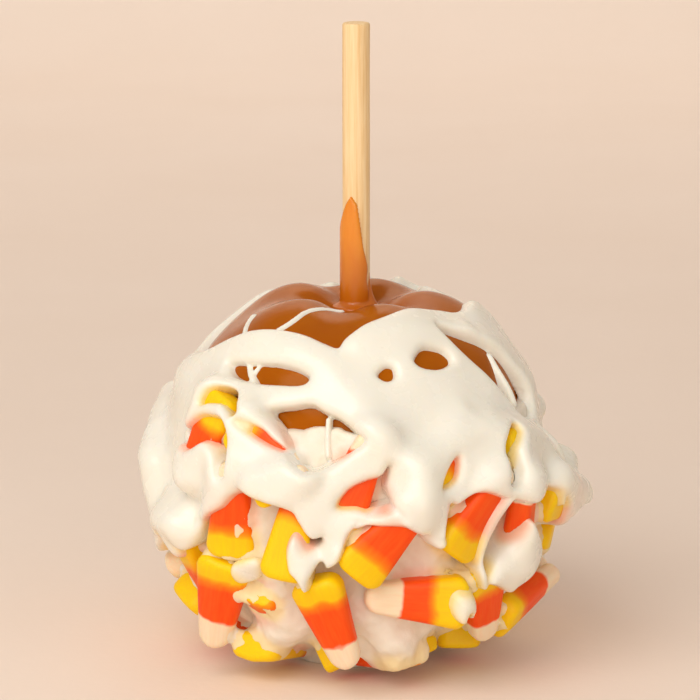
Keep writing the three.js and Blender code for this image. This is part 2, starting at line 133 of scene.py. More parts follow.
# ---- The drizzle ----
# "rim" is how far inside its edges it is fully thick, and "cling" how loosely it follows the sweets. Its
# edges meet with "corner", windows with "neck", and strokes and patches join it with "weld". Outside an
# edge its height drops by "fall" for each millimetre.
DRIZZLE = {
    "thickness": 1.9, "uneven": 0.35, "uneven_size": 7, "rim": 2.2, "sink": 0.7, "cling": 1.7,
    "corner": 1.0, "neck": 0.8, "weld": 0.25, "fall": 1.2, "lip": 0.3,
}
DEGREE = 0.78  # millimetres for a degree on the drizzle
# Edges: bearing and latitude along the part whose shape is known.
LOWER_EDGE = [
    (-92, -18), (-84, -24), (-78, -26), (-71, -22), (-66, -17), (-60, -18), (-55, -20), (-51, -18),
    (-47, -12), (-43, -8), (-38, -5), (-34, -1), (-29, 0), (-24, -1), (-20, -2), (-16.5, -3.5), (-15, -6),
    (-12.5, -10), (-10.5, -11), (-7, -10), (-4, -8), (0, -6), (4, -5.5), (8, -4.5), (13, -7), (17, -9.5),
    (20, -11.5),
    (23, -11.5), (25, -5), (29, -2), (34, 0), (40, -2), (46, -4), (52, -5), (58, -3), (62, -5), (66, -8),
    (72, -14), (80, -12), (92, -14),
]
UPPER_EDGE = [
    (-130, 52), (-120, 46), (-111, 40), (-104, 35), (-98, 32), (-92, 32), (-84, 33), (-72, 37), (-60, 43),
    (-50, 47), (-37, 49.5), (-24, 49.5), (-12, 46.5), (-8, 45.5), (-5, 49), (4, 54), (16, 57), (31, 60),
    (44, 60), (56, 58), (66, 55), (78, 54), (90, 54), (98, 50), (104, 46), (112, 45), (120, 52), (130, 57),
]
# The waves that close each edge round the back.
LOWER_WAVE = {"level": -6, "swing": 9, "waves": 9}
UPPER_WAVE = {"level": 56, "swing": 2, "waves": 5}
WAVE_HOLD = 2.5

# Windows: smooth closed outlines in the drizzle.
WINDOWS = [
    [(-53, 35), (-45, 36.5), (-33, 37.5), (-24, 37), (-18, 35), (-19, 32.5), (-28, 31.5), (-40, 31),
     (-49, 32)],
    [(-28, 23), (-21, 25), (-15, 26), (-10, 24), (-5, 22), (-1, 19), (2.5, 15.5), (-2, 12), (-8, 9), (-12, 7),
     (-15, 8), (-18, 11), (-21, 16), (-25, 20)],
    [(8, 36), (11, 38.5), (14, 38), (14, 35), (11, 34)],
    [(23.5, 40), (28, 43.5), (33, 43.5), (38.5, 41.5), (39.5, 38), (33, 36.5), (26, 37.5)],
    [(41.5, 50.5), (48, 49), (56, 45), (64, 40), (71, 33), (77, 22), (73, 15), (62, 17), (56, 27), (50, 37),
     (45, 44)],
    [(-60, 11), (-55, 14), (-50, 17.5), (-45, 18.5), (-40, 18), (-37, 14), (-36.5, 5), (-39, 3), (-41, 9),
     (-46, 11.5), (-53, 8)],
    [(-50.5, 21), (-49, 25), (-45, 27), (-40, 26), (-35.5, 21), (-37.5, 19.5), (-41, 22), (-46, 22)],
    [(-35, 18.5), (-28, 17.5), (-24, 15), (-18, 11.5), (-24, 13), (-30, 15.5)],
    [(-5, -2), (-2, 2.5), (3, 5), (7, 6), (9, 8.5), (8, 3), (9, -0.5), (11, -4), (8, -5.5), (4, -4),
     (0, -2.5)],
    [(23, 2), (25, 6), (28.5, 9.5), (27.5, 4)],
    [(25.2, -2.4), (26.6, -3), (26, -5.6), (24.8, -5.4)],
    [(41.5, 2), (43, 9), (46, 13.5), (50, 15.5), (51, 13.5), (47, 9), (46, 3), (43.5, 0.5)],
    [(69, 12), (71, 6), (74, -3), (72, -1), (68.5, 5)],
]
# Strokes: height, then bearing, latitude and half-width along them.
STROKES = [
    # Threads and strips over the caramel and across the windows
    (0.6, [(-41, 50, 0.55), (-37, 55, 0.55), (-34, 62, 0.6), (-25, 68, 0.65), (-13, 70, 0.6)]),
    (0.6, [(-60, 46, 0.7), (-66, 50, 0.7), (-70, 53, 0.9)]),
    (0.6, [(-46, 37, 0.7), (-43, 34, 0.7), (-39, 31, 0.8)]),
    (0.5, [(-40, 37, 0.5), (-42, 33, 0.5)]),
    (0.6, [(-9, 22, 0.6), (-9, 16, 0.7), (-8.5, 11, 0.5)]),
    (0.8, [(65, 37, 0.7), (63.5, 30, 0.7), (63, 20, 0.9)]),
    (1.0, [(-54, 19, 0.8), (-47, 20, 0.9), (-41, 19.8, 1.0), (-37, 18, 1.2), (-32, 17.5, 1.2)]),
    (1.2, [(-6, -5, 1.4), (-1, -6, 1.3), (3, -5, 1.2), (8, -4.5, 1.4), (12, -4, 2)]),
    # Drips
    (1.8, [(-62, -12, 3.2), (-61, -17, 3.1), (-60, -20, 2.6)]),
    (1.7, [(20, -6, 3.4), (20.5, -11, 2.3), (21.5, -12, 1.8)]),
    (1.2, [(62, -3, 1.4), (63, -7.5, 0.7)]),
    (1.4, [(70, -8, 1.8), (71, -16, 1.6), (71, -21, 1.2)]),
    # The rib beside the blob on the right
    (1.2, [(43, -2, 1.0), (41, -5, 1.2), (39, -8, 1.3), (37.5, -11, 1.3), (36.5, -14, 1.2), (36, -18, 1.0),
           (36.5, -22, 1.0), (38, -26, 0.9)]),
]
# Patches: height, then a smooth closed outline.
PATCHES = [
    # The drip in front
    (1.9, [(-16, -9), (-17.5, -12), (-17, -17), (-15, -19.5), (-13.5, -22.5), (-12.5, -22.5), (-12, -20),
           (-10.5, -18), (-9, -17), (-7.5, -18), (-5, -16), (-3.5, -13), (-2, -9), (1, -5), (-5, -3),
           (-9, -6), (-9.5, -11), (-11, -13), (-13, -12.5), (-14.5, -10)]),
    # The blob on the right
    (2.2, [(38.5, -25), (39.5, -22), (41.5, -19), (44.5, -16.5), (46.5, -14), (47.5, -11.5), (49, -9),
           (53, -12.5), (57, -16), (62, -20), (67, -23.5), (66, -27.5), (60, -29), (51, -28.5), (48, -29.5),
           (43, -27)]),
    # White chocolate on the sweets
    (1.7, [(26.5, -26.5), (28.5, -25), (31.5, -25.5), (34, -27.5), (35.5, -30.5), (36, -33), (34, -33.8),
           (32.5, -31.5), (31, -29.5), (29.5, -31.5), (27, -30.5), (26, -28.5)]),
    (0.5, [(-38, -23), (-35, -21), (-31, -20.5), (-29, -22), (-30.5, -26), (-34, -27.5), (-37.5, -26.5)]),
]
# Ridges, where the drizzle lies thicker: extra height, half-width, then bearing and latitude along them.
RIDGES = [
    (1.1, 4.5, [(-84, 26), (-70, 36), (-56, 42), (-38, 45), (-22, 43), (-8, 36), (2, 26), (12, 16), (18, 4)]),
    (0.9, 4.0, [(0, 47), (10, 50), (24, 51), (38, 50), (52, 46)]),
    (0.8, 3.5, [(14, 10), (24, 14), (34, 22)]),
    (0.5, 3.0, [(60, 47), (74, 38), (84, 25)]),
]
# How white chocolate near a sweet takes its colour, within a depth, at most to a share: where it is thin over
# the sweet the sweet's colour shows through, and on the coat beside a sweet the same tint is painted bounce
# light, the glow that the orange and yellow sweets cast on it.
TINT = {"dip": (2.6, 0.45), "drizzle": (2.2, 0.7), "clear": 0.3, "reach": 4, "far": 50.0}
TINT_BANDS = {"orange": (0.27, 0.4), "white": (0.7, 0.8)}

# ---- The stick and the caramel on it ----
STICK = {"sides": 72, "rings": 110, "edge": 0.5}
# Wear of its wood, finer and broader: depth, size across the grain, and that over the size along it.
WEAR = [(0.012, 0.8, 0.05), (0.01, 3, 0.1)]
SMEAR = {
    "sides": 120, "rows": 170, "top": 100.5, "end": 101, "height": 0.5, "rim": 1.0, "under": 0.25,
    "blunt": 0.8, "ragged": 0.25, "ragged_size": 2.5, "weld": 0.3, "core": 0.6,
}
# Bearings of the smear's left and right edges at heights up the stick.
SMEAR_EDGES = [
    (74, -130, 60), (80, -135, 54), (86, -130, 46), (91, -120, 26), (96, -70, 12), (99, -40, 2),
    (100.5, -22, -18),
]
# The fillet at the stick's foot. It reaches higher round one bearing.
FILLET = {"z": 76.6, "height": 2.4, "reach": 0.9, "extra": 1.9, "bearing": 78, "spread": 22}

# ---- The grids that the shapes are worked out on ----
STEP = 0.3  # degrees between a chart's places
CHART_MARGIN = 8  # degrees kept round a shape on a chart
LEAST_SHRINK = 0.2  # an edge's bearings aren't taken to be closer than this share, high on the apple
RIDGE_REACH = 2.5  # half-widths from a ridge's line at which it ends
ABSENT = -3  # a height or thickness well below none
NOISE_RADIUS = {"coat": 40, "drizzle": 44}
SPACE = {"margin": 1.5, "top": 86}
FIELD_REACH = 2.0  # distances are kept up to this far from a surface
BLEND_MARGIN = 9  # distance round a sweet or a lump within which it joins what is next to it
KEPT_FACES = 0.5  # share of its faces that a surface keeps when it is thinned
NEAR = (-3.5, 16)  # distances from the caramel between which all that lies on it is found
SHELL = (-2, 6)  # distances from its carrier between which the drizzle is found
# The range of distances that a smooth union takes.
CARRIER_SPAN = (-12, 14)
DIP_SPAN = (-9, 12)

# ---- The studio ----
SWEEP = {"front": -2500, "back": 900, "bend": 500, "turn": 5, "top": 3000, "side": 3000}
AIR = {"colour": (1.0, 0.95, 0.9, 1), "strength": 0.44}
LIGHT_COLOUR = (1.0, 0.97, 0.93)
# Each light's place, aim, width and power in watts.
LIGHTS = {
    "key_light": ((-380, -600, 640), (0, 0, 50), 800, 5.1),
    "front_light": ((120, -900, 300), (0, 0, 40), 700, 1.7),
    "backdrop_light": ((0, 850, 1500), (0, 1400, 1200), 1000, 10.5),
}
CAMERA = {
    "target": (-1.3, 0, 66.8), "distance": 800, "elevation": 12, "lens": 191.3, "sensor": 36,
    "nearest": 50, "farthest": 20000,
}


# ---- Helpers ----
def smooth_line(points, steps=6, closed=False):
    """A Catmull-Rom curve through the points."""
    p = np.array(points, float)
    p = np.vstack([p[-1:], p, p[:2]]) if closed else np.vstack([p[:1], p, p[-1:]])
    share = np.arange(steps)[:, None] / steps
    parts = []
    for a, b, c, d in zip(p, p[1:], p[2:], p[3:]):
        parts.append(0.5 * (2 * b + (c - a) * share + (2 * a - 5 * b + 4 * c - d) * share**2
                            + (3 * b - a - 3 * c + d) * share**3))
    return np.vstack(parts if closed else parts + [p[-1:]])


def smoothstep(low, high, value):
    """Zero at low, one at high, and an eased step between them."""
    share = np.clip((value - low) / (high - low), 0, 1)
    return share * share * (3 - 2 * share)


def noise(points, size, seed=0):
    """Smooth noise from -1 to 1, with features of the size given, at an array of points."""
    scaled = np.asarray(points, float) / size
    cell = np.floor(scaled).astype(np.int64)
    part = smoothstep(0, 1, scaled - cell)
    total = np.zeros(cell.shape[:-1])
    for corner in itertools.product((0, 1), repeat=3):
        n = cell + corner
        # A whole number that looks random, made with large primes
        mixed = (n[..., 0] * 73856093) ^ (n[..., 1] * 19349663) ^ (n[..., 2] * 83492791) ^ (seed * 40503)
        mixed = ((mixed ^ (mixed >> 13)) * 1274126177) & 0x7FFFFFFF
        weight = np.where(corner, part, 1 - part).prod(-1)
        total += weight * ((mixed % 10007) / 5003.5 - 1)
    return total


def smooth_min(a, b, reach):
    share = np.clip(0.5 + 0.5 * (b - a) / reach, 0, 1)
    return b + (a - b) * share - reach * share * (1 - share)


def smooth_max(a, b, reach):
    return -smooth_min(-a, -b, reach)


def pull(distance, reach, span):
    """A surface's weight in a smooth union, whose distance is -reach times the log of the weights' sum."""
    return np.exp(-np.clip(distance, *span) / reach)


def rounded(depth, rim):
    """Share of the full thickness at a depth inside a rounded edge."""
    power = 2.3
    return (1 - (1 - np.clip(depth / rim, 0, 1)) ** power) ** (1 / power)


def outwards(lon, lat):
    """The direction of a bearing and a latitude."""
    lon, lat = np.radians(lon), np.radians(lat)
    return np.stack([np.sin(lon) * np.cos(lat), -np.cos(lon) * np.cos(lat), np.sin(lat)], -1)


# ---- Meshes ----
def link_object(name, mesh):
    made = bpy.data.objects.new(name, mesh)
    bpy.context.scene.collection.objects.link(made)
    return made


def mesh_object(name, points, faces):
    mesh = bpy.data.meshes.new(name)
    mesh.from_pydata((np.asarray(points) * MM).tolist(), [], faces)
    mesh.shade_smooth()
    return link_object(name, mesh)


def grid_faces(rings, sides, closed_rings=False):
    """Quads between rings of points, each ring closed on itself."""
    faces = []
    for i in range(rings if closed_rings else rings - 1):
        low, high = i * sides, ((i + 1) % rings) * sides
        for j in range(sides):
            k = (j + 1) % sides
            faces.append((low + j, low + k, high + k, high + j))
    return faces


def closed_stack(rings, sides):
    """Faces of a stack of rings that ends in a fan at each end, round the two points that come last."""
    faces = grid_faces(rings, sides)
    first_end, last_ring = rings * sides, (rings - 1) * sides
    for j in range(sides):
        k = (j + 1) % sides
        faces.append((k, j, first_end))
        faces.append((last_ring + j, last_ring + k, first_end + 1))
    return faces


def field_object(name, field, lowest):
    """The closed surface where a field of distances is zero, thinned to a share of its faces."""
    volume = openvdb.FloatGrid(FIELD_REACH)
    volume.copyFromArray(np.clip(field, -FIELD_REACH, FIELD_REACH).astype(np.float32))
    points, _, quads = volume.convertToPolygons(isovalue=0.0, adaptivity=0.0)
    mesh = bpy.data.meshes.new(name)
    mesh.vertices.add(len(points))
    mesh.vertices.foreach_set("co", ((points * VOXEL + lowest) * MM).astype(np.float32).ravel())
    mesh.loops.add(quads.size)
    mesh.loops.foreach_set("vertex_index", quads.astype(np.int32).ravel())
    mesh.polygons.add(len(quads))
    mesh.polygons.foreach_set("loop_start", np.arange(0, quads.size, 4, dtype=np.int32))
    mesh.update(calc_edges=True)
    made = link_object(name, mesh)
    thin = made.modifiers.new("thin", "DECIMATE")
    thin.ratio = KEPT_FACES
    bpy.context.view_layer.update()
    made.data = bpy.data.meshes.new_from_object(made.evaluated_get(bpy.context.evaluated_depsgraph_get()))
    made.modifiers.clear()
    made.data.validate()
    made.data.shade_smooth()
    return made


def points_of(made):
    """A piece's vertices, in millimetres."""
    co = np.zeros(len(made.data.vertices) * 3, np.float32)
    made.data.vertices.foreach_get("co", co)
    return co.reshape(-1, 3) / MM


def set_attribute(made, name, kind, key, values):
    """Gives every vertex a value that the piece's material reads."""
    attribute = made.data.attributes.new(name, kind, "POINT")
    attribute.data.foreach_set(key, values.astype(np.float32).ravel())


# ---- Charts: fields over bearing and latitude ----
LONS = np.arange(-180, 180, STEP)
LATS = np.arange(-78, 90.01, STEP)
LON, LAT = np.meshgrid(LONS, LATS)


def sample(chart, lon, lat):
    """A chart's values at places, between its grid points."""
    x = ((lon + 180) / STEP) % len(LONS)
    y = np.clip((lat - LATS[0]) / STEP, 0, len(LATS) - 1.001)
    i, j = np.minimum(x.astype(np.int32), len(LONS) - 1), y.astype(np.int32)
    u, v = x - i, y - j
    k = (i + 1) % len(LONS)
    lower = chart[j, i] * (1 - u) + chart[j, k] * u
    upper = chart[j + 1, i] * (1 - u) + chart[j + 1, k] * u
    return lower * (1 - v) + upper * v


def chart_round(points, margin):
    """The part of a chart near some places."""
    (west, south), (east, north) = points[:, :2].min(0) - margin, points[:, :2].max(0) + margin
    return slice(*np.searchsorted(LATS, (south, north))), slice(*np.searchsorted(LONS, (west, east)))


def line_distance(points, where):
    """Distance on the chart to a line, and the line's half-width there, if its points have one."""
    shrink = math.cos(math.radians(points[:, 1].mean()))
    scale = np.array([shrink * DEGREE, DEGREE])
    places = np.stack([LON[where], LAT[where]], -1) * scale
    nearest = np.full(places.shape[:-1], 1e9)
    width = np.zeros(places.shape[:-1])
    for a, b in zip(points, points[1:]):
        start, along = a[:2] * scale, (b[:2] - a[:2]) * scale
        share = np.clip(((places - start) @ along) / max(along @ along, 1e-9), 0, 1)
        away = np.linalg.norm(places - start - share[..., None] * along, axis=-1)
        closer = away < nearest
        nearest = np.where(closer, away, nearest)
        if points.shape[1] > 2:
            width = np.where(closer, a[2] + share * (b[2] - a[2]), width)
    return nearest, width


def inside_line(points, where):
    """Whether places of the chart lie inside a closed line."""
    x, y = LON[where], LAT[where]
    inside = np.zeros(x.shape, bool)
    for (x0, y0), (x1, y1) in zip(points, np.roll(points, -1, 0)):
        crosses = (y0 > y) != (y1 > y)
        if crosses.any():
            inside ^= crosses & (x < x0 + (y - y0) * (x1 - x0) / (y1 - y0))
    return inside


def outline_depth(outline):
    """The part of the chart round a closed outline, and the depth inside it there, below zero outside."""
    line = smooth_line(outline, closed=True)
    where = chart_round(line, CHART_MARGIN)
    away, _ = line_distance(np.vstack([line, line[:1]]), where)
    return where, np.where(inside_line(line, where), away, -away)


def edge_chart(edge, level, swing, waves):
    """Latitude of an edge of the drizzle at every bearing of the chart, with waves round the back."""
    line = smooth_line(edge)
    first, last = edge[0][0], edge[-1][0]
    front = np.interp(LONS, line[:, 0], line[:, 1])
    past = np.where(LONS > last, LONS - last, LONS + 360 - last) / (360 - last + first)
    wave = level + swing * np.sin(2 * math.pi * waves * past)
    hold = np.minimum(1, WAVE_HOLD * np.sin(math.pi * np.clip(past, 0, 1)))
    ends = edge[-1][1] + (edge[0][1] - edge[-1][1]) * past
    return np.where((LONS >= first) & (LONS <= last), front, ends + (wave - ends) * hold)


def edge_distance(edge, sign):
    """Distance inside an edge: above it where the sign is 1, and below it where it is -1."""
    slope = np.gradient(edge, STEP) / np.maximum(np.cos(np.radians(edge)), LEAST_SHRINK)
    return sign * (LAT - edge) * DEGREE / np.sqrt(1 + slope**2)


def crease_depth(off_axis):
    """Depth of the caramel's creases, at places a distance from the axis."""
    total = np.zeros(LON.shape)
    for bearing, depth, width, length in CREASES:
        turn = np.radians(LON - bearing)
        across, along = off_axis * np.sin(turn), off_axis * np.cos(turn)
        start = smoothstep(*CREASE["start"], along)
        fade = start * (1 - smoothstep(CREASE["full"] * length, length, along))
        total += depth * fade * np.exp(-((across / width) ** 2))
    return total


def apple_chart():
    """Distance from the centre to the caramel, at every place."""
    line = smooth_line([(r, z - CENTRE[2]) for r, z in APPLE_SECTION], 12)
    lat = np.degrees(np.arctan2(line[:, 1], np.maximum(line[:, 0], 0)))
    reach = np.hypot(line[:, 0], line[:, 1])
    order = np.argsort(lat)
    radius = np.interp(LAT, lat[order], reach[order])
    z = CENTRE[2] + radius * np.sin(np.radians(LAT))
    off_axis = radius * np.cos(np.radians(LAT))
    shoulder = smoothstep(*LOBES["heights"], z) * smoothstep(*LOBES["distances"], off_axis)
    lobe = shoulder * LOBES["height"] * np.cos(LOBES["count"] * np.radians(LON - LOBES["turn"]))
    swell = SWELL["height"] * noise(outwards(LON, LAT) * NOISE_RADIUS["coat"], SWELL["size"], seed=3)
    return radius + (lobe - crease_depth(off_axis)) * np.sin(np.radians(LAT)) + swell


def coat_charts():
    """Thickness of the dip, below zero above its ragged edge, and what eases the drizzle over that edge."""
    around = outwards(LON, LAT) * NOISE_RADIUS["coat"]
    z = CENTRE[2] + APPLE * np.sin(np.radians(LAT))
    smooth_edge = BASE["edge_z"] + BASE_EDGE["wander"] * noise(around, BASE_EDGE["wander_size"], seed=9)
    edge = smooth_edge + BASE_EDGE["ragged"] * noise(around, BASE_EDGE["ragged_size"], seed=8)
    depth = edge - z
    eased = BASE["thickness"] * smoothstep(-BASE["ease"], 0, smooth_edge - z)
    bulge = BULGE["height"] * smoothstep(*BULGE["range"], noise(around, BULGE["size"], seed=14))
    bulge = bulge * smoothstep(*BULGE["top"], LAT) * smoothstep(*BULGE["bottom"], LAT)
    full = (BASE["thickness"] + bulge) * rounded(depth, BASE["rim"])
    coat = np.where(depth > 0, full, np.maximum(depth, ABSENT))
    return coat, np.maximum(eased - np.maximum(coat, 0), 0)


def drizzle_inside():
    """Distance inside the drizzle's edges and outside its windows."""
    low = edge_chart(LOWER_EDGE, **LOWER_WAVE)
    high = edge_chart(UPPER_EDGE, **UPPER_WAVE)
    inside = smooth_min(edge_distance(low, 1), edge_distance(high, -1), DRIZZLE["corner"])
    for outline in WINDOWS:
        where, depth = outline_depth(outline)
        inside[where] = smooth_min(inside[where], -depth, DRIZZLE["neck"])
    return inside


def drizzle_thickness():
    """The drizzle's full thickness away from its edges."""
    around = outwards(LON, LAT) * NOISE_RADIUS["drizzle"]
    thickness = DRIZZLE["thickness"] + DRIZZLE["uneven"] * noise(around, DRIZZLE["uneven_size"], seed=5)
    for height, radius, points in RIDGES:
        line = smooth_line(points)
        where = chart_round(line, RIDGE_REACH * radius)
        away, _ = line_distance(line, where)
        thickness[where] += height * np.exp(-((away / radius) ** 2))
    return thickness


def drizzle_chart():
    """Height of the drizzle over what carries it. It is below zero where there is none."""
    inside, rim = drizzle_inside(), DRIZZLE["rim"]
    outside = np.maximum(DRIZZLE["fall"] * inside, ABSENT)
    cover = np.where(inside > 0, drizzle_thickness() * rounded(inside, rim), outside)
    for height, points in STROKES:
        line = smooth_line(points)
        where = chart_round(line, CHART_MARGIN)
        away, width = line_distance(line, where)
        round_top = height * np.sqrt(np.clip(1 - (away / width) ** 2, 0, 1))
        stroke = np.where(away < width, round_top, width - away)
        cover[where] = smooth_max(cover[where], stroke, DRIZZLE["weld"])
    for height, outline in PATCHES:
        where, depth = outline_depth(outline)
        patch = np.where(depth > 0, height * rounded(depth, rim), depth)
        cover[where] = smooth_max(cover[where], patch, DRIZZLE["weld"])
    return cover


# ---- Candy corn ----
def measure_sweet(name):
    """Middle, axes (across, towards the tip, through) and half sizes of a sweet, from its CAD node."""
    co = np.array([v.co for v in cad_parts[name].data.vertices]) / MM
    co = np.unique(co.round(3), axis=0)
    middle = co.mean(0)
    _, _, (along, across, through) = np.linalg.svd(co - middle, full_matrices=False)
    reach = (co - middle) @ along
    spread = np.abs((co - middle) @ across)
    if spread[reach > 0].max() > spread[reach < 0].max():
        along = -along
    if through @ (middle - CENTRE) < 0:
        through = -through
    axes = np.array([np.cross(along, through), along, through])
    local = (co - middle) @ axes.T
    low, high = local.min(0), local.max(0)
    rand = np.random.default_rng(int(name[-2:]))
    return {
        "name": name, "middle": middle + (low + high) / 2 @ axes, "axes": axes, "half": (high - low) / 2,
        "ridge": SWEET["ridge"] * rand.uniform(0, 1), "coated": COATED.get(name[-2:]),
    }


def box_distance(first, second):
    """Distance to a corner from two distances past its sides, below zero inside both."""
    pair = np.stack([first, second], -1)
    return np.linalg.norm(np.maximum(pair, 0), axis=-1) + np.minimum(pair.max(-1), 0)


def sweet_distance(local, sweet):
    """Distance from a sweet's surface, in its own axes: a rounded wedge with a ridge along its face."""
    half = sweet["half"]
    u, v, w = np.moveaxis(local, -1, 0)
    share = np.clip(v / half[1] / 2 + 0.5, 0, 1)
    taper = np.maximum(share - SWEET["straight"], 0) / (1 - SWEET["straight"])
    wide = half[0] * (1 - SWEET["narrowing"] * taper)
    roof = 1 - sweet["ridge"] * np.sqrt((u / wide) ** 2 + SWEET["ridge_round"])
    thick = half[2] * (1 - SWEET["thinning"] * taper) * np.clip(roof, SWEET["thinnest"], 1)
    corner = SWEET["corner"] * half[0]
    outline = box_distance(np.abs(u) - wide + corner, np.abs(v) - half[1] + corner) - corner
    edge = SWEET["edge"] * half[2]
    return box_distance(outline + edge, np.abs(w) - thick + edge) - edge


def sweet_points(sweet):
    """Rings of points on a sweet's surface, in its own axes, found by halving."""
    half = sweet["half"]
    v = -SWEET_MESH["ends"] * half[1] * np.cos(np.linspace(0, math.pi, SWEET_MESH["rings"]))
    turn = np.linspace(0, 2 * math.pi, SWEET_MESH["sides"], endpoint=False)
    v, turn = np.meshgrid(v, turn, indexing="ij")
    low, high = np.zeros(v.shape), np.full(v.shape, SWEET_MESH["widest"] * half[0])
    for _ in range(SWEET_MESH["halvings"]):
        middle = (low + high) / 2
        outside = sweet_distance(np.stack([middle * np.sin(turn), v, middle * np.cos(turn)], -1), sweet) > 0
        high = np.where(outside, middle, high)
        low = np.where(outside, low, middle)
    return np.stack([low * np.sin(turn), v, low * np.cos(turn)], -1).reshape(-1, 3)


def sweet_bands(sweet, local, moved, number):
    """A value along a sweet that is 1 where yellow ends, 2 where orange ends and 3 at the tip."""
    rand = np.random.default_rng(number)
    share = local[:, 1] / sweet["half"][1] / 2 + 0.5
    wander = BAND_EDGE["wander"] * noise(moved, BAND_EDGE["wander_size"], seed=number)
    ragged = BAND_EDGE["ragged"] * noise(moved, BAND_EDGE["ragged_size"], seed=number)
    share += wander + ragged
    usual = [BANDS[key] + rand.uniform(-BAND_SPREAD[key], BAND_SPREAD[key]) for key in ("yellow", "orange")]
    yellow, orange = OWN_BANDS.get(sweet["name"][-2:], usual)
    return np.interp(share, [0, yellow, orange, 1], [0, 1, 2, 3])


def sweet_object(sweet, number):
    local = sweet_points(sweet)
    local *= 1 + DENTS["share"] * noise(local + 50 * number, DENTS["size"], seed=number)[:, None]
    ends = np.array([[0, local[0, 1], 0], [0, local[-1, 1], 0]])
    local = np.vstack([local, ends])
    faces = closed_stack(SWEET_MESH["rings"], SWEET_MESH["sides"])
    made = mesh_object(sweet["name"] + "_sweet", local @ sweet["axes"] + sweet["middle"], faces)
    moved = local + 31 * number
    set_attribute(made, "band", "FLOAT", "value", sweet_bands(sweet, local, moved, number))
    set_attribute(made, "grain", "FLOAT_VECTOR", "vector", moved * MM)
    finish_piece(made, [sweet["name"]], "candy")


# ---- Fields in space ----
class Space:
    """A grid of places round the food, with their distance from the caramel and its coat there."""

    def __init__(self):
        self.low = np.array(CAD_BOX[0]) / MM - SPACE["margin"]
        high = np.array(CAD_BOX[1]) / MM + SPACE["margin"]
        high[2] = SPACE["top"]
        self.axes = [np.arange(self.low[k], high[k], VOXEL) for k in range(3)]
        x, y, z = np.meshgrid(*[axis.astype(np.float32) for axis in self.axes], indexing="ij")
        self.x, self.y, self.z = x, y, z - np.float32(CENTRE[2])
        self.off_axis = np.hypot(self.x, self.y)
        self.lon = np.degrees(np.arctan2(self.x, -self.y))
        self.lat = np.degrees(np.arctan2(self.z, self.off_axis))
        reach = np.hypot(self.off_axis, self.z)
        self.apple = reach - sample(APPLE, self.lon, self.lat).astype(np.float32)
        self.near = (self.apple > NEAR[0]) & (self.apple < NEAR[1])
        self.coat = self.charted(COAT, self.near, ABSENT)
        self.eased = self.charted(EASED, self.near, 0)

    def charted(self, chart, where, elsewhere):
        """A chart's values at some of the places, and one value at all the others."""
        values = np.full(self.apple.shape, elsewhere, np.float32)
        values[where] = sample(chart, self.lon[where], self.lat[where])
        return values

    def part_round(self, middle, reach):
        """The part of the grid within a reach of a place."""
        ends = np.array([middle - reach, middle + reach]).T
        return tuple(slice(*np.searchsorted(self.axes[k], ends[k])) for k in range(3))

    def sweet_parts(self, sweets):
        """For each sweet, the part of the grid near it and its distances there."""
        for sweet in sweets:
            reach = np.abs(sweet["axes"]).T @ sweet["half"] + BLEND_MARGIN
            part = self.part_round(sweet["middle"], reach)
            points = np.stack(np.meshgrid(*[self.axes[k][part[k]] for k in range(3)], indexing="ij"), -1)
            yield sweet, part, sweet_distance((points - sweet["middle"]) @ sweet["axes"].T, sweet)

    def lump_parts(self):
        """For each lump of the dip, the part of the grid near it and its distances there."""
        for bearing, latitude, distance, radius in LUMPS:
            middle = outwards(bearing, latitude) * distance + CENTRE
            part = self.part_round(middle, np.full(3, radius + BLEND_MARGIN))
            across = (self.x[part] - middle[0]) ** 2 + (self.y[part] - middle[1]) ** 2
            away = np.sqrt(across + (self.z[part] + CENTRE[2] - middle[2]) ** 2)
            yield part, away - radius


def coat_over(space, sweet, part):
    """How far the dip lies over a sweet's surface, below zero where the surface is bare."""
    if sweet["coated"] is None:
        return -BASE["sink"]
    places = np.stack([space.x[part], space.y[part], space.z[part] + CENTRE[2]], -1)
    share = (places - sweet["middle"]) @ sweet["axes"][1] / sweet["half"][1]
    over = sweet["coated"] + PATCHY["height"] * noise(places, PATCHY["size"], seed=12)
    return over - PATCHY["bare"] * smoothstep(*PATCHY["bare_from"], share)


def roughen(space, dip):
    """Pits and low bumps in the dip. The bumps are too low to break out over the sweets."""
    rough = space.near & (np.abs(dip) < ROUGH["reach"]) & (space.z < BASE["edge_z"] - CENTRE[2])
    places = np.stack([space.x[rough], space.y[rough], space.z[rough]], -1)
    lumps = ROUGH["lump"] * noise(places, ROUGH["lump_size"], seed=15)
    grain = ROUGH["grain"] * noise(places, ROUGH["grain_size"], seed=16)
    dip[rough] += np.maximum(lumps + grain, -ROUGH["rise"])


def food_fields(space, sweets):
    """Distances to the dip and to the drizzle's carrier, each a smooth union of coat and sweets."""
    foot = np.maximum(space.off_axis - BASE["foot_radius"], space.z + CENTRE[2] - BASE["foot_height"])
    cling, climb = DRIZZLE["cling"], BASE["climb"]
    carrier = pull(space.apple - np.maximum(space.coat, 0) - space.eased, cling, CARRIER_SPAN)
    dip = pull(smooth_min(space.apple - space.coat, foot, BASE["foot_blend"]), climb, DIP_SPAN)
    for sweet, part, distance in space.sweet_parts(sweets):
        carrier[part] += pull(distance, cling, CARRIER_SPAN)
        dip[part] += pull(distance - coat_over(space, sweet, part), climb, DIP_SPAN)
    for part, distance in space.lump_parts():
        dip[part] += pull(distance, climb, DIP_SPAN)
    carrier = -cling * np.log(carrier)
    dip = -climb * np.log(dip)
    roughen(space, dip)
    inner, outer = -(space.apple + BASE["overlap"]), space.apple - space.coat - BASE["fill"]
    dip = np.maximum.reduce([dip, inner, outer, -(space.z + CENTRE[2])])
    return np.where(space.near | (foot < FIELD_REACH), dip, FIELD_REACH), carrier


